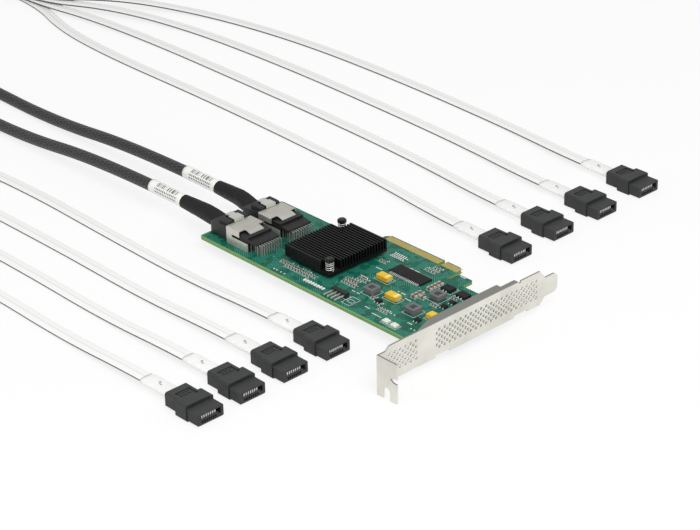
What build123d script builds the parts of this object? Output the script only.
from build123d import *
from math import radians, tan
import os

# An eight-port drive controller card with a slot bracket and its two plugged break-out cables.
# +X runs along the card and out through the bracket, +Y to the edge connector, +Z up.
# Z = 0 is the surface that the bracket's tab and the drive plugs stand on. Millimetres.

# Sides of the small round pieces and of the sleeves
small_round_sides = 10
sleeve_sides = 8

# Slot bracket, one folded sheet
bracket_length = 120.02
blade_width = 18.42
sheet = 0.86
tab_width = 20.8
tab_reach = 12.2
tab_drop = 4.4
tab_slot_width = 4.42
tab_slot_depth = 6.2
tab_slot_from_face = 5.5
tab_nick_height = 2.4
tab_nick_depth = 4.4
tab_nick_from_top = 8.0
blade_shoulder_length = 5.0
blade_shoulder_slope = 2.4
tail_length = 12.52
tail_slope = 3.7
tail_width = 10.2
tail_rise = 3.5
tail_corner = 3.2
blade_corner = 1.2
fold_radius = 0.5
flange_start = 27.0
flange_taper = 12.0
flange_tip_reach = 1.4
flange_end = 92.6
flange_step = 83.2
flange_reach = 5.6
flange_narrow_reach = 3.0
relief_length = 1.6
lug_recess_depth = 1.1
lug_recess_length = 9.4
front_lug_from_tab = 37.0
rear_lug_from_tail = 17.9
lug_reach = 9.4
lug_side_relief = 0.5
rear_lug_arm = 8.2

# Vent holes in the blade, in staggered rows
vent_diameter = 1.65
vent_sides = 6
vent_pitch_along = 3.45
vent_pitch_across = 1.53
vent_rows = 7
vent_first_row_height = 5.1
short_vent_field_start = 6.2
short_vent_field_columns = 6
long_vent_field_start = 38.6

# Circuit board
card_reach = 167.65
board_thickness = 1.6
board_underside_above_blade = 1.6
board_to_bracket = 0.5
board_front_from_tab = 35.05
board_width = 56.0
board_corner = 2.0
edge_connector_reach = 12.9
edge_connector_from_face = 46.6
edge_connector_length = 53.6
edge_connector_corner = 2.6
key_from_end = 12.6
key_width = 1.9
key_depth = 7.8
hook_from_face = 35.4
hook_length = 9.4
hook_reach = 7.4
hook_corner = 1.4
contact_pitch = 1.0
contact_width = 0.7
contact_length = 4.4
contact_from_edge = 0.7
contact_thickness = 0.05
short_side_contacts = 11
long_side_contacts = 38
board_screw_hole = 3.2

# Bracket screws
screw_shank = 3.0
screw_head_diameter = 5.4
screw_head_height = 1.7
screw_recess_diameter = 2.4
screw_recess_depth = 0.9
screw_inset = 5.2
screw_tip_below_lug = 0.8

# Controller chip and heat sink
chip_size = 27.0
chip_height = 1.3
thermal_pad_size = 24.0
thermal_pad_thickness = 0.25
sink_length = 32.5
sink_width = 39.0
sink_height = 6.6
sink_base_thickness = 1.5
sink_from_face = 102.0
sink_from_front = 34.0
fin_count = 21
fin_thickness = 0.8
sink_wall_thickness = 1.1
pin_notch_length = 6.4
pin_notch_width = 7.4
pin_inset = 2.9
pin_shank_diameter = 2.6
pin_cap_diameter = 4.9
pin_cap_height = 1.6
pin_cap_above_fins = 1.9
pin_barb_diameter = 3.6
pin_barb_height = 1.2
pin_hole_clearance = 0.2

# Four-lane receptacles and cable plugs, placed along the board's far end
receptacle_pitch = 21.5
front_receptacle_from_front = 13.6
cage_face_from_bracket = 152.2
cage_length = 9.8
cage_width = 17.0
cage_height = 9.3
cage_sheet = 0.4
cage_corner = 0.8
cage_tongue_width = 9.2
cage_tongue_flat = 1.8
cage_tongue_length = 4.4
cage_tongue_drop = 0.9
cage_side_notch = 5.6
cage_side_notch_top = 6.0
cage_rail_height = 4.5
cage_rail_length = 16.2
housing_length = 7.6
housing_width = 15.4
housing_to_tongue = 0.1
shelf_length = 6.0
shelf_root_height = 6.8
shelf_end_height = 6.2
shelf_underside = 5.2
tail_pitch = 1.6
tails_per_row = 9
tail_rows = 4
tail_row_pitch = 2.43
first_tail_row_from_mouth = 17.0
tail_size = 0.4
plug_body_length = 14.4
plug_body_width = 15.4
plug_rear_base = 1.6
plug_rear_height = 6.6
plug_face_base = 0.9
plug_face_height = 8.5
plug_shoulder_length = 2.0
plug_shoulder_height = 7.6
plug_rear_corner = 2.2
plug_edge_chamfer = 0.7
plug_nose_length = 8.6
plug_nose_width = 14.6
plug_nose_height = 8.1
cheek_width = 3.0
cheek_length = 7.2
cheek_from_face = 0.5
cheek_top = 11.2
cheek_softness = 0.9
cheek_to_latch = 0.35
latch_bar_length = 1.5
latch_bar_height = 10.7
latch_width = 6.2
latch_neck_width = 4.3
latch_neck_length = 3.4
latch_length = 7.6
latch_thickness = 0.5
latch_hook_over_cage = 0.5
latch_above_cage = 0.2

# Board components, placed by distance from the bracket's face and from the board's front edge
flash_body = (22.0, 8.0, 1.0)
flash_place = (60.6, 45.4)
flash_lead_count = 20
flash_lead_pitch = 1.0
flash_lead_reach = 1.4
flash_lead_width = 0.4
flash_lead_thickness = 0.15
flash_standoff = 0.15
tantalum_body = (7.3, 4.3, 2.8)
tantalum_places = ((67.2, 33.9), (50.2, 23.3), (21.8, 23.0))
tantalum_lead_width = 2.4
tantalum_lead_thickness = 0.25
tantalum_lead_wrap = 1.3
tantalum_lead_rise = 1.4
inductor_size = 6.5
inductor_height = 3.0
inductor_places = ((62.2, 20.6), (34.0, 21.0), (34.9, 38.5))
inductor_corner = 0.7
inductor_base_height = 0.9
inductor_base_inset = 0.45
header_place = (71.5, 8.4)
header_pin_count = 4
header_pitch = 2.54
header_depth = 2.5
header_height = 2.5
header_pin_size = 0.64
header_pin_reach = 6.0
header_pin_height = 1.25
header_pin_tail = 1.2
lamp_body = (3.4, 2.8, 1.3)
lamp_places = ((36.2, 5.2), (30.4, 5.0))
lamp_lens_diameter = 2.2
port_lamp_body = (1.0, 1.9, 0.6)
port_lamp_count = 8
port_lamp_pitch = 1.9
port_lamp_first_place = (94.4, 6.0)
ceramic_body = (3.0, 1.6, 1.3)
ceramic_column_from_face = 44.0
ceramic_pitch = 2.5
ceramic_group_starts = (31.45, 41.95)
ceramic_group_counts = (3, 4)
spare_ceramic_place = (40.2, 33.6)
small_body = (1.6, 0.8, 0.5)
small_row_starts = ((117.0, 11.4), (112.0, 9.6), (80.6, 18.6), (81.4, 22.0), (77.2, 26.0),
                    (83.0, 46.6), (58.4, 17.0), (50.2, 14.6), (60.2, 56.0), (58.0, 59.4),
                    (33.2, 32.6), (47.6, 11.4), (31.0, 44.2))
small_row_counts = (14, 9, 6, 5, 4, 3, 2, 1, 4, 3, 3, 4, 3)
small_row_pitches = (1.9, 2.1, 1.8, 1.9, 1.9, 1.9, 1.9, 2.1, 2.0, 2.0, 1.8, 1.9, 1.8)
regulator_body = (6.2, 4.8, 1.6)
regulator_places = ((37.6, 48.4), (27.6, 48.6))
transistor_body = (3.0, 2.8, 1.1)
transistor_places = ((53.2, 16.4), (26.4, 16.2), (26.8, 40.2), (27.0, 34.6))
package_lead_width = 0.5
package_lead_reach = 0.7
package_lead_pitch = 0.95

# Drive plugs: nose height is measured from the plug's underside
drive_nose_length = 7.4
drive_nose_width = 15.2
drive_nose_height = 5.9
drive_nose_base = 0.7
drive_collar_length = 7.6
drive_collar_width = 16.2
drive_collar_height = 8.4
drive_grip_length = 8.9
drive_grip_width = 13.2
drive_grip_height = 7.6
drive_grip_base = 0.4
drive_corner = 0.8
drive_recess_length = 6.6
drive_recess_into_collar = 1.8
drive_recess_width = 8.6
drive_recess_depth = 0.5
drive_slot_width = 12.2
drive_slot_height = 2.0
drive_slot_depth = 6.2
drive_slot_above_nose_base = 2.9
drive_key_width = 1.6
drive_key_drop = 1.2
drive_contact_pitch = 1.27
drive_contact_count = 7
drive_contact_width = 0.6
drive_contact_thickness = 0.35
drive_contact_length = 5.6
drive_noses = ((41.2, -128.9), (40.2, -103.2), (40.0, -76.8), (39.1, -49.4),
               (34.3, 81.0), (32.6, 114.3), (32.7, 147.6), (31.4, 182.3))

# Cables
shrink_length = 29.0
shrink_taper = 11.0
shrink_mouth_width = 9.4
shrink_mouth_corner = 1.5
shrink_wide_diameter = 9.0
shrink_end_diameter = 7.4
sleeve_diameter = 6.5
label_length = 26.2
label_thickness = 0.25
boot_length = 22.0
boot_sleeve_diameter = 7.4
boot_width = 9.0
boot_height = 7.2
boot_corner = 1.2
flat_cable_width = 7.4
flat_cable_thickness = 1.4
marker_length = 21.0
marker_wall = 0.5
marker_clearance = 0.15
cable_axis_above_board = 4.8
first_run = 68.0
sleeve_drifts = (0.2, 1.9)
marker_gap = 0.8
cable_into_plug = 1.0

# Sleeve routes, from the strain relief to the boot, lying on the surface past the card
front_sleeve_route = [(-264.0, -12.4, 3.4), (-338.0, -10.6, 3.4), (-412.0, -14.0, 3.4),
                      (-462.0, -18.0, 3.4), (-497.0, -38.0, 3.4), (-504.0, -68.0, 3.4),
                      (-484.0, -92.5, 3.4), (-434.0, -92.5, 3.4)]
rear_sleeve_route = [(-264.0, 13.0, 3.4), (-340.0, 14.6, 3.4), (-418.0, 16.4, 3.4),
                     (-476.0, 22.0, 3.4), (-519.0, 43.0, 3.4), (-538.0, 80.0, 3.4),
                     (-522.0, 118.0, 3.4), (-470.0, 118.0, 3.4)]

# Flat cable routes, from the boot to the drive plug, one list for each plug
flat_cable_routes = [
    [(-412.0, -92.5, 1.2), (-382.0, -92.5, 1.2), (-336.0, -110.0, 1.2), (-284.0, -125.0, 0.9),
     (-206.0, -130.6, 0.9), (-130.0, -127.4, 0.9), (-64.0, -129.0, 0.9), (-10.9, -128.9, 4.0),
     (18.3, -128.9, 4.0)],
    [(-412.0, -92.5, 2.9), (-382.0, -92.5, 2.9), (-336.0, -97.4, 2.9), (-280.0, -104.4, 0.9),
     (-204.0, -103.0, 0.9), (-132.0, -102.0, 0.9), (-66.0, -103.4, 0.9), (-11.9, -103.2, 4.0),
     (17.3, -103.2, 4.0)],
    [(-412.0, -92.5, 4.6), (-382.0, -92.5, 4.6), (-338.0, -84.6, 4.6), (-282.0, -75.6, 0.9),
     (-208.0, -76.4, 0.9), (-134.0, -75.6, 0.9), (-68.0, -76.9, 0.9), (-12.1, -76.8, 4.0),
     (17.1, -76.8, 4.0)],
    [(-412.0, -92.5, 6.3), (-382.0, -92.5, 6.3), (-338.0, -71.6, 6.3), (-284.0, -52.0, 0.9),
     (-208.0, -46.4, 0.9), (-134.0, -48.6, 0.9), (-68.0, -49.8, 0.9), (-12.9, -49.4, 4.0),
     (16.2, -49.4, 4.0)],
    [(-448.0, 118.0, 1.2), (-420.0, 118.0, 1.2), (-376.0, 103.6, 1.2), (-318.0, 99.4, 0.9),
     (-240.0, 99.8, 0.9), (-162.0, 97.6, 0.9), (-84.0, 93.4, 0.9), (-18.9, 81.9, 3.8),
     (11.4, 81.0, 4.0)],
    [(-448.0, 118.0, 2.9), (-420.0, 118.0, 2.9), (-374.0, 126.0, 2.9), (-316.0, 131.8, 0.9),
     (-238.0, 131.0, 0.9), (-160.0, 129.6, 0.9), (-84.0, 126.0, 0.9), (-19.9, 115.1, 3.8),
     (9.7, 114.3, 4.0)],
    [(-448.0, 118.0, 4.6), (-420.0, 118.0, 4.6), (-376.0, 143.0, 4.6), (-320.0, 161.0, 0.9),
     (-240.0, 164.0, 0.9), (-160.0, 162.4, 0.9), (-84.0, 159.0, 0.9), (-19.9, 148.4, 3.8),
     (9.8, 147.6, 4.0)],
    [(-448.0, 118.0, 6.3), (-420.0, 118.0, 6.3), (-384.0, 153.0, 6.3), (-334.0, 184.0, 0.9),
     (-256.0, 196.0, 0.9), (-170.0, 197.0, 0.9), (-86.0, 193.6, 0.9), (-20.9, 183.1, 3.8),
     (8.5, 182.3, 4.0)]]

# Derived places
overall_length = cage_face_from_bracket + plug_body_length + tab_reach
face_x = overall_length / 2 - tab_reach
tab_y = -bracket_length / 2
blade_base = tab_drop
board_base = blade_base + board_underside_above_blade
board_top = board_base + board_thickness
board_front = tab_y + board_front_from_tab
board_back = board_front + board_width
board_right = face_x - sheet - board_to_bracket
board_left = face_x - card_reach
lug_top = board_base
tail_start = bracket_length - tail_length
rear_lug_from_tab = tail_start - rear_lug_from_tail
screw_x = board_right - screw_inset
screw_ys = (tab_y + front_lug_from_tab + lug_recess_length / 2,
            tab_y + rear_lug_from_tab - rear_lug_arm / 2)
cable_axis = board_top + cable_axis_above_board
receptacle_centres = (board_front + front_receptacle_from_front,
                      board_front + front_receptacle_from_front + receptacle_pitch)
cage_face = face_x - cage_face_from_bracket
sink_x = face_x - sink_from_face
sink_y = board_front + sink_from_front
sink_base = board_top + chip_height + thermal_pad_thickness
sink_top = sink_base + sink_height
pin_places = ((sink_x + sink_length / 2 - pin_inset, sink_y - sink_width / 2 + pin_inset),
              (sink_x - sink_length / 2 + pin_inset, sink_y + sink_width / 2 - pin_inset))


def span(x_low, x_high, y_low, y_high, z_low, z_high):
    """A block between two corners."""
    low_corner = (Align.MIN, Align.MIN, Align.MIN)
    return Pos(x_low, y_low, z_low) * Box(x_high - x_low, y_high - y_low, z_high - z_low, align=low_corner)


def upright(radius, height):
    """A small round bar or hole that stands on Z = 0, with as few sides as its size needs."""
    return extrude(RegularPolygon(radius, small_round_sides), height)


def small_revolve(profile):
    """A small turned piece from steps of radius and height."""
    pieces = [Pos(0, 0, low) * upright(radius, high - low) for radius, low, high in profile]
    return pieces[0] + pieces[1:]


def on_board(place, height=0.0):
    """A location on the component side, from distances off the bracket face and front edge."""
    return Pos(face_x - place[0], board_front + place[1], board_top + height)


def package(size, softness):
    """A moulded package with a small draft-like chamfer round its top."""
    body = Box(size[0], size[1], size[2], align=(Align.CENTER, Align.CENTER, Align.MIN))
    return chamfer(body.faces().sort_by(Axis.Z)[-1].edges(), softness)


def chamfered_rectangle(width, height, corner):
    """A rectangle with its corners cut."""
    return chamfer(Rectangle(width, height).vertices(), corner)


def outline_solid(points, plane, depth):
    """A closed outline extruded from its plane."""
    return extrude(plane * make_face(Polyline(*points, close=True)), depth)


# Circuit board: stepped outline with the key notch, the hook beside it and the fixing holes
def circuit_board():
    """The bare board with its edge connector, hook, key and holes."""
    body = span(board_left, board_right, board_front, board_back, board_base, board_top)
    corners = body.edges().filter_by(Axis.Z).group_by(Axis.X)[0]
    body = fillet(corners, board_corner)
    end = face_x - edge_connector_from_face
    tip = board_back + edge_connector_reach
    tongue = span(end - edge_connector_length, end, board_back, tip, board_base, board_top)
    tongue_corners = tongue.edges().filter_by(Axis.Z).group_by(Axis.Y)[-1]
    tongue = chamfer(tongue_corners, edge_connector_corner)
    key_centre = end - key_from_end
    key = span(key_centre - key_width / 2, key_centre + key_width / 2, tip - key_depth, tip,
               board_base, board_top)
    hook_right = face_x - hook_from_face
    hook = span(hook_right - hook_length, hook_right, board_back, board_back + hook_reach,
                board_base, board_top)
    hook = fillet(hook.edges().filter_by(Axis.Z).group_by(Axis.Y)[-1], hook_corner)
    board = body + (tongue - key) + hook
    for y in screw_ys:
        board -= Pos(screw_x, y, board_base) * upright(board_screw_hole / 2, board_thickness)
    pin_hole = upright(pin_shank_diameter / 2 + pin_hole_clearance, board_thickness)
    for x, y in pin_places:
        board -= Pos(x, y, board_base) * pin_hole
    return board


def edge_contacts():
    """The gold contact strips on both faces of the edge connector."""
    end = face_x - edge_connector_from_face
    key_centre = end - key_from_end
    tip = board_back + edge_connector_reach - contact_from_edge
    near = key_centre + key_width / 2 + contact_pitch * 0.6
    far = key_centre - key_width / 2 - contact_pitch * 0.6
    centres = [near + contact_pitch * i for i in range(short_side_contacts)]
    centres += [far - contact_pitch * i for i in range(long_side_contacts)]
    strips = []
    for x in centres:
        for z in (board_top, board_base - contact_thickness):
            strips.append(span(x - contact_width / 2, x + contact_width / 2, tip - contact_length, tip,
                               z, z + contact_thickness))
    return Compound(children=strips)


# Bracket: blade outline with shoulder, recesses and tail, then tab, flange, lugs and vents
def blade_outline():
    """The blade's outline in Y and height above the blade's lower edge."""
    y0 = tab_y + sheet
    shoulder = tab_width - tab_drop
    tail = tab_y + tail_start
    tip = tab_y + bracket_length
    points = [(y0, 0), (y0, shoulder), (tab_y + blade_shoulder_length, shoulder),
              (tab_y + blade_shoulder_length + blade_shoulder_slope, blade_width), (tail, blade_width),
              (tail + tail_slope, tail_rise + tail_width), (tip, tail_rise + tail_width),
              (tip, tail_rise), (tail + tail_slope, tail_rise), (tail, 0)]
    for start in (tab_y + rear_lug_from_tab, tab_y + front_lug_from_tab):
        points += [(start + lug_recess_length, 0), (start + lug_recess_length, lug_recess_depth),
                   (start, lug_recess_depth), (start, 0)]
    return points


def vent_centres():
    """Staggered vent centres in Y and height above the blade's lower edge."""
    centres = []
    long_columns = round((tail_start - long_vent_field_start) / vent_pitch_along)
    fields = ((short_vent_field_start, short_vent_field_columns), (long_vent_field_start, long_columns))
    for row in range(vent_rows):
        odd = row % 2
        for first, columns in fields:
            shift = -vent_pitch_along / 2 if odd else 0.0
            for column in range(columns):
                y = tab_y + first + vent_pitch_along * 0.25 + shift + column * vent_pitch_along
                centres.append((y, vent_first_row_height + row * vent_pitch_across))
    return centres


def bracket():
    """The folded bracket sheet."""
    blade_plane = Plane(origin=(face_x - sheet, 0, blade_base), x_dir=(0, 1, 0), z_dir=(1, 0, 0))
    blade = outline_solid(blade_outline(), blade_plane, sheet)
    tip = tab_y + bracket_length
    tail_corners = [e for e in blade.edges().filter_by(Axis.X) if e.center().Y > tip - sheet]
    blade = fillet(tail_corners, tail_corner)
    relief_start = tab_y + flange_end
    blade -= span(face_x - sheet, face_x, relief_start, relief_start + relief_length,
                  blade_base + blade_width - sheet, blade_base + blade_width)
    tab_top = tab_width
    tab = span(face_x - sheet, face_x + tab_reach, tab_y, tab_y + sheet, 0, tab_top)
    tab = fillet(tab.edges().filter_by(Axis.Y).group_by(Axis.X)[-1], blade_corner)
    slot_x = face_x + tab_slot_from_face
    slot = span(slot_x - tab_slot_width / 2, slot_x + tab_slot_width / 2, tab_y, tab_y + sheet,
                0, tab_slot_depth - tab_slot_width / 2)
    slot_end = Pos(slot_x, tab_y + sheet / 2, tab_slot_depth - tab_slot_width / 2)
    tab -= slot + slot_end * Rot(90, 0, 0) * Cylinder(tab_slot_width / 2, sheet)
    nick_top = tab_top - tab_nick_from_top
    edge = face_x + tab_reach
    inner = edge - tab_nick_depth
    nick = [(edge, nick_top), (inner, nick_top), (inner, nick_top - tab_nick_height / 2),
            (inner + tab_nick_depth / 2, nick_top - tab_nick_height), (edge, nick_top - tab_nick_height)]
    tab_plane = Plane(origin=(0, tab_y + sheet, 0), x_dir=(1, 0, 0), z_dir=(0, -1, 0))
    tab -= outline_solid(nick, tab_plane, sheet)
    flange_top = blade_base + blade_width
    flange_tip = tab_y + flange_start
    taper = [(face_x - sheet, flange_tip), (face_x - sheet, tab_y + flange_step),
             (face_x - flange_reach, tab_y + flange_step), (face_x - flange_reach, flange_tip + flange_taper),
             (face_x - flange_tip_reach, flange_tip)]
    wide = outline_solid(taper, Plane.XY.offset(flange_top - sheet), sheet)
    narrow = span(face_x - flange_narrow_reach, face_x - sheet, tab_y + flange_step, tab_y + flange_end,
                  flange_top - sheet, flange_top)
    folded = blade + tab + wide + narrow
    near = sheet / 4
    fold_edges = [e for e in folded.edges().filter_by(Axis.Y)
                  if abs(e.center().X - face_x) < near and abs(e.center().Z - flange_top) < near
                  and flange_tip < e.center().Y < tab_y + flange_end]
    folded = fillet(fold_edges, fold_radius)
    for lug in mounting_lugs():
        folded += lug
    vent = RegularPolygon(vent_diameter / 2, vent_sides)
    vents = Sketch() + [Pos(y, z) * vent for y, z in vent_centres()]
    return folded - extrude(blade_plane * vents, sheet)


def mounting_lugs():
    """The two lugs under the board, folded in from the recesses in the blade's lower edge."""
    front = tab_y + front_lug_from_tab
    rear = tab_y + rear_lug_from_tab
    low = lug_top - sheet
    reach_x = face_x - lug_reach
    lugs = []
    for start in (front + lug_side_relief, rear + lug_side_relief):
        end = start + lug_recess_length - 2 * lug_side_relief
        lugs.append(span(reach_x, face_x - sheet, start, end, low, lug_top))
    arm_right = face_x - sheet - board_to_bracket
    lugs[1] += span(reach_x, arm_right, rear - rear_lug_arm, rear + lug_side_relief, low, lug_top)
    holed = []
    for lug, y in zip(lugs, screw_ys):
        holed.append(lug - Pos(screw_x, y, low) * upright(screw_shank / 2, sheet))
    return holed


def bracket_screws():
    """Two pan-head screws through the board into the lugs."""
    crown = screw_head_height / 4
    head_top = board_top + screw_head_height
    steps = [(screw_shank / 2, board_base - sheet - screw_tip_below_lug, board_top),
             (screw_head_diameter / 2, board_top, head_top - crown),
             (screw_head_diameter / 2 - crown, head_top - crown, head_top)]
    recess = upright(screw_recess_diameter / 2, screw_recess_depth)
    screw = small_revolve(steps) - Pos(0, 0, head_top - screw_recess_depth) * recess
    return Compound(children=[Pos(screw_x, y) * screw for y in screw_ys])


# Heat sink and its pins
def heat_sink():
    """The finned sink with plain outer walls and a notch at two corners for the push pins."""
    left = sink_x - sink_length / 2
    right = sink_x + sink_length / 2
    low = sink_y - sink_width / 2
    high = sink_y + sink_width / 2
    base = span(left, right, low, high, sink_base, sink_base + sink_base_thickness)
    pitch = (sink_width - sink_wall_thickness) / (fin_count - 1)
    fins = span(left, right, low, low + sink_wall_thickness, sink_base, sink_top)
    for i in range(1, fin_count):
        y = low + sink_wall_thickness / 2 + i * pitch
        thick = sink_wall_thickness if i == fin_count - 1 else fin_thickness
        fins += span(left, right, y - thick / 2, y + thick / 2, sink_base, sink_top)
    sink = base + fins
    above = sink_base + sink_base_thickness
    sink -= span(right - pin_notch_length, right, low, low + pin_notch_width, above, sink_top)
    sink -= span(left, left + pin_notch_length, high - pin_notch_width, high, above, sink_top)
    pin_hole = upright(pin_shank_diameter / 2 + pin_hole_clearance, sink_base_thickness)
    for x, y in pin_places:
        sink -= Pos(x, y, sink_base) * pin_hole
    return sink


def push_pins():
    """Two capped pins that pass the sink and the board and end in a barb below it."""
    cap_top = sink_top + pin_cap_above_fins
    crown = pin_cap_height / 3
    steps = [(pin_barb_diameter / 2, board_base - pin_barb_height, board_base),
             (pin_shank_diameter / 2, board_base, cap_top - pin_cap_height),
             (pin_cap_diameter / 2, cap_top - pin_cap_height, cap_top - crown),
             (pin_cap_diameter / 2 - crown, cap_top - crown, cap_top)]
    return Compound(children=[Pos(x, y) * small_revolve(steps) for x, y in pin_places])


def controller_chip():
    """The ball-grid package under the sink."""
    return Pos(sink_x, sink_y, board_top) * package((chip_size, chip_size, chip_height), chip_height / 5)


def thermal_pad():
    """The pad between the package and the sink."""
    size = (Align.CENTER, Align.CENTER, Align.MIN)
    pad = Box(thermal_pad_size, thermal_pad_size, thermal_pad_thickness, align=size)
    return Pos(sink_x, sink_y, board_top + chip_height) * pad


# Receptacles and cable plugs
def side_plane(y):
    """A plane across the part whose outlines are drawn in X and Z and extruded towards -Y."""
    return Plane(origin=(0, y, 0), x_dir=(1, 0, 0), z_dir=(0, -1, 0))


def receptacle_cage(centre):
    """The sheet-metal shell: open mouth, notched side walls, lower side rails and a sprung top tongue."""
    mouth = cage_face
    back = mouth + cage_length
    rail_end = mouth + cage_rail_length
    half = cage_width / 2
    top = board_top + cage_height
    rail_top = board_top + cage_rail_height
    notch_top = board_top + cage_side_notch_top
    notch_start = back - cage_side_notch
    wall = [(mouth, board_top), (rail_end, board_top), (rail_end, rail_top), (notch_start, rail_top),
            (notch_start, notch_top), (back, notch_top), (back, top), (mouth, top)]
    shell = outline_solid(wall, side_plane(centre + half), cage_width)
    shell = fillet(shell.edges().filter_by(Axis.X).group_by(Axis.Z)[-1], cage_corner)
    shell -= span(mouth, rail_end, centre - half + cage_sheet, centre + half - cage_sheet,
                  board_top, top - cage_sheet)
    bend = back + cage_tongue_flat
    tip = back + cage_tongue_length
    low = top - cage_tongue_drop
    tongue = [(back, top), (bend, top), (tip, low), (tip, low - cage_sheet), (bend, top - cage_sheet),
              (back, top - cage_sheet)]
    return shell + outline_solid(tongue, side_plane(centre + cage_tongue_width / 2), cage_tongue_width)


def receptacle_housing(centre):
    """The black moulding behind the cage, with the thin shelf that holds the contact tails."""
    start = cage_face + plug_nose_length
    mid = start + housing_length
    end = mid + shelf_length
    top = board_top + cage_height - cage_tongue_drop - cage_sheet - housing_to_tongue
    under = board_top + shelf_underside
    profile = [(start, board_top), (start, top), (mid, top), (mid, board_top + shelf_root_height),
               (end, board_top + shelf_end_height), (end, under), (mid, under), (mid, board_top)]
    return outline_solid(profile, side_plane(centre + housing_width / 2), housing_width)


def receptacle_tails(centre):
    """Four staggered rows of contact tails, the last bent down past the housing's shelf."""
    shelf_end = cage_face + plug_nose_length + housing_length + shelf_length
    under = board_top + shelf_underside
    half = tail_size / 2
    tails = []
    for row in range(tail_rows):
        x = cage_face + first_tail_row_from_mouth + row * tail_row_pitch
        shift = tail_pitch / 4 if row % 2 else -tail_pitch / 4
        for i in range(tails_per_row):
            y = centre + shift + (i - (tails_per_row - 1) / 2) * tail_pitch
            if x - half < shelf_end:
                tails.append(span(x - half, x + half, y - half, y + half, board_top, under))
            else:
                bend = [(x - half, board_top), (x + half, board_top), (x + half, under + tail_size),
                        (shelf_end, under + tail_size), (shelf_end, under), (x - half, under)]
                tails.append(outline_solid(bend, side_plane(y + half), tail_size))
    return tails


def plug_cheeks(centre):
    """The two soft-edged cheeks beside the latch and the bar that carries the latch's end."""
    face = cage_face - cheek_from_face
    back = face - cheek_length
    seat = board_top + plug_shoulder_height
    cheeks = []
    for side in (1, -1):
        inner = latch_width / 2 + cheek_to_latch
        ends = sorted((centre + side * inner, centre + side * (inner + cheek_width)))
        cheek = span(back, face, *ends, seat, board_top + cheek_top)
        cheeks.append(chamfer(cheek.faces().sort_by(Axis.Z)[-1].edges(), cheek_softness))
    inner = latch_width / 2 + cheek_to_latch
    cheeks.append(span(back, back + latch_bar_length, centre - inner, centre + inner,
                       seat, board_top + latch_bar_height))
    return cheeks


def cable_plug(centre):
    """The moulded plug on the cable: wedge-shaped grip, cheeks round the latch and the nose in the cage."""
    back = cage_face - plug_body_length
    shoulder = back + plug_shoulder_length
    profile = [(back, board_top + plug_rear_base), (cage_face, board_top + plug_face_base),
               (cage_face, board_top + plug_face_height), (shoulder, board_top + plug_shoulder_height),
               (back, board_top + plug_rear_height)]
    body = outline_solid(profile, side_plane(centre + plug_body_width / 2), plug_body_width)
    body = fillet(body.edges().filter_by(Axis.Z).group_by(Axis.X)[0], plug_rear_corner)
    nose_half = plug_nose_width / 2
    nose = span(cage_face, cage_face + plug_nose_length, centre - nose_half, centre + nose_half,
                board_top + plug_face_base, board_top + plug_nose_height)
    for piece in plug_cheeks(centre):
        body += piece
    return body + nose


def plug_latch(centre):
    """The spring-steel latch between the cheeks: a necked strip bent down to the cage at its end."""
    face = cage_face + latch_hook_over_cage
    low = board_top + cage_height + latch_above_cage
    seat = board_top + latch_bar_height
    start = cage_face - cheek_from_face - cheek_length
    knee = start + latch_length
    profile = [(start, seat), (knee, seat), (face - latch_thickness, low), (face, low),
               (knee + latch_thickness, seat + latch_thickness), (start, seat + latch_thickness)]
    strip = outline_solid(profile, side_plane(centre + latch_width / 2), latch_width)
    for side in (1, -1):
        ends = sorted((centre + side * latch_neck_width / 2, centre + side * latch_width / 2))
        strip -= span(start, start + latch_neck_length, *ends, seat, seat + latch_thickness)
    return strip


# Board components
def flash_chip():
    """The thin small-outline memory body."""
    return on_board(flash_place, flash_standoff) * package(flash_body, flash_standoff)


def gull_lead(reach, width, height, thickness):
    """A lead that slopes from mid height on a body at x = 0 down to its foot on the board."""
    profile = [(0, height), (reach, 0), (reach, thickness), (0, height + thickness)]
    return outline_solid(profile, side_plane(width / 2), width)


def flash_leads():
    """Leads along both long sides of the memory."""
    lead = gull_lead(flash_lead_reach, flash_lead_width, flash_body[2] / 2, flash_lead_thickness)
    leads = []
    for i in range(flash_lead_count):
        offset = (i - (flash_lead_count - 1) / 2) * flash_lead_pitch
        for side, turn in ((1, 90), (-1, -90)):
            here = on_board(flash_place) * Pos(offset, side * flash_body[1] / 2, 0)
            leads.append(here * Rot(0, 0, turn) * lead)
    return Compound(children=leads)


def tantalum_bodies():
    """Moulded capacitor bodies, set just above their terminals."""
    length, width, height = tantalum_body
    body = (length, width, height - tantalum_lead_thickness)
    place = tantalum_lead_thickness
    return Compound(children=[on_board(p, place) * package(body, width / 12) for p in tantalum_places])


def tantalum_terminals():
    """Plated terminals that wrap under each capacitor's ends."""
    end = tantalum_body[0] / 2
    thick = tantalum_lead_thickness
    profile = [(end - tantalum_lead_wrap, 0), (end + thick, 0), (end + thick, tantalum_lead_rise),
               (end, tantalum_lead_rise), (end, thick), (end - tantalum_lead_wrap, thick)]
    terminal = outline_solid(profile, side_plane(tantalum_lead_width / 2), tantalum_lead_width)
    return Compound(children=[on_board(place) * Rot(0, 0, turn) * terminal
                              for place in tantalum_places for turn in (0, 180)])


def inductors():
    """Shielded power inductors with a waisted base."""
    parts = []
    inset = inductor_size - 2 * inductor_base_inset
    centred = (Align.CENTER, Align.CENTER, Align.MIN)
    for place in inductor_places:
        foot = Box(inset, inset, inductor_base_height, align=centred)
        top = Box(inductor_size, inductor_size, inductor_height - inductor_base_height, align=centred)
        top = chamfer(top.edges().filter_by(Axis.Z), inductor_corner)
        parts.append(on_board(place) * (foot + Pos(0, 0, inductor_base_height) * top))
    return Compound(children=parts)


def header_pin_offsets():
    """Pin places along the header."""
    return [(i - (header_pin_count - 1) / 2) * header_pitch for i in range(header_pin_count)]


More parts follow.
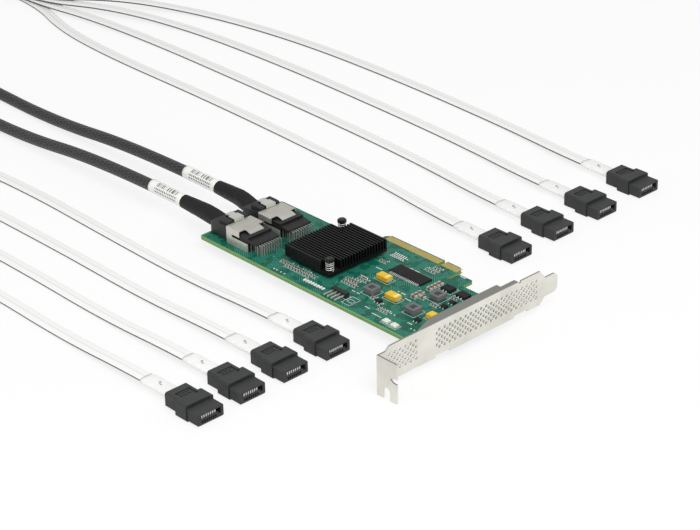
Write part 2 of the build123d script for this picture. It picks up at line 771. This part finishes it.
def header_body():
    """The black strip of the right-angle header, notched between its pins."""
    length = header_pitch * header_pin_count
    centred = (Align.CENTER, Align.CENTER, Align.MIN)
    body = Box(length, header_depth, header_height, align=centred)
    for offset in header_pin_offsets():
        body -= Pos(offset, 0, header_pin_height - header_pin_size / 2) * Box(
            header_pin_size, header_depth, header_pin_size, align=centred)
    return on_board(header_place) * body


def header_pins():
    """Bent square pins: out over the board's front edge side and down through the board."""
    pins = []
    size = header_pin_size
    back = header_depth / 2 + size
    low = -header_pin_tail
    for offset in header_pin_offsets():
        profile = [(-header_depth / 2 - header_pin_reach, header_pin_height - size / 2),
                   (back - size, header_pin_height - size / 2), (back - size, 0), (back, 0),
                   (back, header_pin_height + size / 2),
                   (-header_depth / 2 - header_pin_reach, header_pin_height + size / 2)]
        plane = Plane(origin=(offset - size / 2, 0, 0), x_dir=(0, 1, 0), z_dir=(1, 0, 0))
        pins.append(on_board(header_place) * outline_solid(profile, plane, size))
    return Compound(children=pins)


def indicator_lamps():
    """Two pale indicator lamps with a round lens each."""
    lamps = []
    for place in lamp_places:
        lamp = package(lamp_body, lamp_body[2] / 5)
        lens = Pos(0, 0, lamp_body[2]) * upright(lamp_lens_diameter / 2, lamp_body[2] / 5)
        lamps.append(on_board(place) * (lamp + lens))
    return Compound(children=lamps)


def port_lamps():
    """The row of small activity lamps, one for each port."""
    lamps = []
    for i in range(port_lamp_count):
        place = (port_lamp_first_place[0] - i * port_lamp_pitch, port_lamp_first_place[1])
        lamps.append(on_board(place) * package(port_lamp_body, port_lamp_body[2] / 5))
    return Compound(children=lamps)


def ceramic_capacitors():
    """Larger ceramic capacitors in a row beside the inductors."""
    places = [spare_ceramic_place]
    for start, count in zip(ceramic_group_starts, ceramic_group_counts):
        places += [(ceramic_column_from_face, start + i * ceramic_pitch) for i in range(count)]
    chip = package(ceramic_body, ceramic_body[2] / 8)
    return Compound(children=[on_board(place) * chip for place in places])


def small_parts():
    """Rows of chip resistors and small capacitors."""
    centred = (Align.CENTER, Align.CENTER, Align.MIN)
    width, length, height = small_body[1], small_body[0], small_body[2]
    parts = []
    for first, count, pitch in zip(small_row_starts, small_row_counts, small_row_pitches):
        for i in range(count):
            place = (first[0] - i * pitch, first[1])
            parts.append(on_board(place) * Box(width, length, height, align=centred))
    return Compound(children=parts)


def regulators():
    """Power packages near the bracket."""
    parts = [on_board(p) * package(regulator_body, regulator_body[2] / 6) for p in regulator_places]
    parts += [on_board(p) * package(transistor_body, transistor_body[2] / 6) for p in transistor_places]
    return Compound(children=parts)


def regulator_leads():
    """Two leads on one side and one on the other of each power package."""
    leads = []
    for places, body in ((regulator_places, regulator_body), (transistor_places, transistor_body)):
        lead = gull_lead(package_lead_reach, package_lead_width, body[2] / 3, flash_lead_thickness)
        for place in places:
            for offset, side in ((-package_lead_pitch, -1), (package_lead_pitch, -1), (0, 1)):
                here = on_board(place) * Pos(offset, side * body[1] / 2, 0)
                leads.append(here * Rot(0, 0, side * 90) * lead)
    return Compound(children=leads)


# Drive plugs
def drive_plug(nose_front, centre):
    """The moulded drive plug: keyed nose, wide collar and narrower grip with a recessed frame."""
    nose_back = nose_front - drive_nose_length
    collar_back = nose_back - drive_collar_length
    grip_back = collar_back - drive_grip_length
    nose_half = drive_nose_width / 2
    nose = span(nose_back, nose_front, centre - nose_half, centre + nose_half,
                drive_nose_base, drive_nose_base + drive_nose_height)
    nose = chamfer(nose.edges().filter_by(Axis.X), drive_corner / 2)
    collar_half = drive_collar_width / 2
    collar = span(collar_back, nose_back, centre - collar_half, centre + collar_half, 0, drive_collar_height)
    collar = chamfer(collar.edges().filter_by(Axis.X), drive_corner)
    grip_half = drive_grip_width / 2
    grip_top = drive_grip_base + drive_grip_height
    grip = span(grip_back, collar_back, centre - grip_half, centre + grip_half, drive_grip_base, grip_top)
    grip = chamfer(grip.edges().filter_by(Axis.X), drive_corner)
    recess_half = drive_recess_width / 2
    recess_end = collar_back + drive_recess_into_collar
    recess = span(recess_end - drive_recess_length, recess_end, centre - recess_half, centre + recess_half,
                  grip_top - drive_recess_depth, drive_collar_height)
    slot_base = drive_nose_base + drive_slot_above_nose_base
    slot_half = drive_slot_width / 2
    slot = span(nose_front - drive_slot_depth, nose_front, centre - slot_half, centre + slot_half,
                slot_base, slot_base + drive_slot_height)
    key = span(nose_front - drive_slot_depth, nose_front,
               centre + slot_half - drive_key_width, centre + slot_half,
               slot_base - drive_key_drop, slot_base)
    return nose + collar + grip - recess - slot - key


def drive_contacts():
    """Seven contact blades on the lower wall of each drive plug's slot."""
    blades = []
    floor = drive_nose_base + drive_slot_above_nose_base
    for nose_front, centre in drive_noses:
        start = nose_front - drive_slot_depth
        for i in range(drive_contact_count):
            y = centre + (i - (drive_contact_count - 1) / 2) * drive_contact_pitch - drive_key_width / 2
            blades.append(span(start, start + drive_contact_length, y - drive_contact_width / 2,
                               y + drive_contact_width / 2, floor, floor + drive_contact_thickness))
    return Compound(children=blades)


# Cables
def path_radii(route):
    """The largest arc radius that each corner's two runs allow."""
    radii = []
    for before, here, after in zip(route, route[1:], route[2:]):
        first = Vector(*here) - Vector(*before)
        second = Vector(*after) - Vector(*here)
        turn = first.get_angle(second)
        shorter = min(first.length, second.length)
        radii.append(0.45 * shorter / tan(radians(turn / 2)))
    return radii


def cable_path(route):
    """Straight runs joined by tangent arcs along a route."""
    return FilletPolyline(*route, radius=path_radii(route))


def check_cable(name, solid, path, area):
    """Prints a cable's length, tightest arc and how its volume compares with section times length."""
    ratio = solid.volume / (area * path.length)
    print(f"{name}: length {path.length:.0f} mm, volume ratio {ratio:.4f}")


def strain_relief(centre, drift):
    """Heat-shrink that tapers from the plug's back to the round sleeve."""
    back = cage_face - plug_body_length
    mouth_centre = board_top + (plug_rear_base + plug_rear_height) / 2
    mouth_height = plug_rear_height - plug_rear_base - cage_sheet
    wide = Plane(origin=(back, centre, mouth_centre), x_dir=(0, 1, 0), z_dir=(-1, 0, 0))
    mouth = wide * chamfered_rectangle(shrink_mouth_width, mouth_height, shrink_mouth_corner)
    neck_plane = Plane(origin=(back - shrink_taper, centre + drift, cable_axis), x_dir=(0, 1, 0),
                       z_dir=(-1, 0, 0))
    neck = neck_plane * RegularPolygon(shrink_wide_diameter / 2, sleeve_sides)
    end_plane = neck_plane.offset(shrink_length - shrink_taper)
    end = end_plane * RegularPolygon(shrink_end_diameter / 2, sleeve_sides)
    return loft([mouth, neck]) + loft([neck, end])


def whole_sleeve_route(centre, drift, route):
    """A sleeve's route with its first straight run behind the heat-shrink."""
    start = cage_face - plug_body_length - shrink_length
    return [(start, centre + drift, cable_axis), (start - first_run, centre + drift, cable_axis)] + route


def cable_sleeve(route, name):
    """The braided sleeve as a plain round tube along its route."""
    path = cable_path(route)
    start = Plane(origin=path @ 0, z_dir=path % 0)
    section = start * RegularPolygon(sleeve_diameter / 2, sleeve_sides)
    tube = sweep(section, path=path)
    print(name, "radii", [round(r) for r in path_radii(route)])
    check_cable(name, tube, path, section.area)
    return tube


def wrap_label(centre, drift):
    """The label wrapped round the sleeve where it leaves the heat-shrink."""
    start = cage_face - plug_body_length - shrink_length
    inner = sleeve_diameter / 2 + marker_clearance / 2
    plane = Plane(origin=(start, centre + drift, cable_axis), x_dir=(0, 1, 0), z_dir=(-1, 0, 0))
    ring = RegularPolygon(inner + label_thickness, sleeve_sides) - RegularPolygon(inner, sleeve_sides)
    return extrude(plane * ring, label_length)


def break_out_boot(route, stack_centre):
    """The boot where a sleeve ends and its four flat cables leave, stacked on each other."""
    x, y, z = route[-1]
    start = Plane(origin=(x, y, stack_centre), x_dir=(0, 1, 0), z_dir=(1, 0, 0))
    entry = start * RegularPolygon(boot_sleeve_diameter / 2, sleeve_sides)
    exit_face = start.offset(boot_length) * chamfered_rectangle(boot_width, boot_height, boot_corner)
    return loft([entry, exit_face])


def flat_cable(route, plug, name):
    """A flat cable as a plain strip along its route, ending flush at its plug's back."""
    path = cable_path(route)
    start = Plane(origin=path @ 0, x_dir=(0, 1, 0), z_dir=path % 0)
    section = start * Rectangle(flat_cable_width, flat_cable_thickness)
    strip = sweep(section, path=path)
    print(name, "radii", [round(r) for r in path_radii(route)])
    check_cable(name, strip, path, section.area)
    return strip - plug


def marker_sleeves():
    """A loose marker sleeve round each flat cable behind its drive plug."""
    inner_width = flat_cable_width + 2 * marker_clearance
    inner_height = flat_cable_thickness + 2 * marker_clearance
    markers = []
    for route in flat_cable_routes:
        end = Vector(*route[-1])
        back = (Vector(*route[-2]) - end).normalized()
        plane = Plane(origin=end + back * (cable_into_plug + marker_gap), x_dir=(0, 1, 0), z_dir=back)
        outer = chamfered_rectangle(inner_width + 2 * marker_wall, inner_height + 2 * marker_wall, marker_wall)
        inner = Rectangle(inner_width, inner_height)
        markers.append(extrude(plane * (outer - inner), marker_length))
    return Compound(children=markers)


def build_parts():
    """Every node's name and solid."""
    front, rear = receptacle_centres
    parts = {
        "circuit_board": circuit_board(),
        "edge_contacts": edge_contacts(),
        "slot_bracket": bracket(),
        "bracket_screws": bracket_screws(),
        "controller_chip": controller_chip(),
        "thermal_pad": thermal_pad(),
        "heat_sink": heat_sink(),
        "push_pins": push_pins(),
        "flash_chip": flash_chip(),
        "flash_leads": flash_leads(),
        "tantalum_capacitors": tantalum_bodies(),
        "tantalum_terminals": tantalum_terminals(),
        "inductors": inductors(),
        "header_body": header_body(),
        "header_pins": header_pins(),
        "indicator_lamps": indicator_lamps(),
        "port_lamps": port_lamps(),
        "ceramic_capacitors": ceramic_capacitors(),
        "small_parts": small_parts(),
        "regulators": regulators(),
        "regulator_leads": regulator_leads(),
        "contact_tails": Compound(children=receptacle_tails(front) + receptacle_tails(rear)),
        "drive_contacts": drive_contacts(),
        "marker_sleeves": marker_sleeves(),
    }
    sides = (("front", front, front_sleeve_route, 0), ("rear", rear, rear_sleeve_route, 4))
    for (side, centre, rest, first), drift in zip(sides, sleeve_drifts):
        route = whole_sleeve_route(centre, drift, rest)
        stack = [flat_cable_routes[first + i][0][2] for i in range(4)]
        parts[f"{side}_cage"] = receptacle_cage(centre)
        parts[f"{side}_receptacle"] = receptacle_housing(centre)
        parts[f"{side}_cable_plug"] = cable_plug(centre)
        parts[f"{side}_latch"] = plug_latch(centre)
        parts[f"{side}_strain_relief"] = strain_relief(centre, drift)
        parts[f"{side}_sleeve"] = cable_sleeve(route, side)
        parts[f"{side}_label"] = wrap_label(centre, drift)
        parts[f"{side}_boot"] = break_out_boot(route, sum(stack) / len(stack))
    for number, (place, route) in enumerate(zip(drive_noses, flat_cable_routes), start=1):
        plug = drive_plug(*place)
        parts[f"drive_plug_{number}"] = plug
        parts[f"flat_cable_{number}"] = flat_cable(route, plug, f"flat_cable_{number}")
    return parts


os.makedirs("parts", exist_ok=True)
for name, solid in build_parts().items():
    export_step(solid, f"parts/{name}.step")
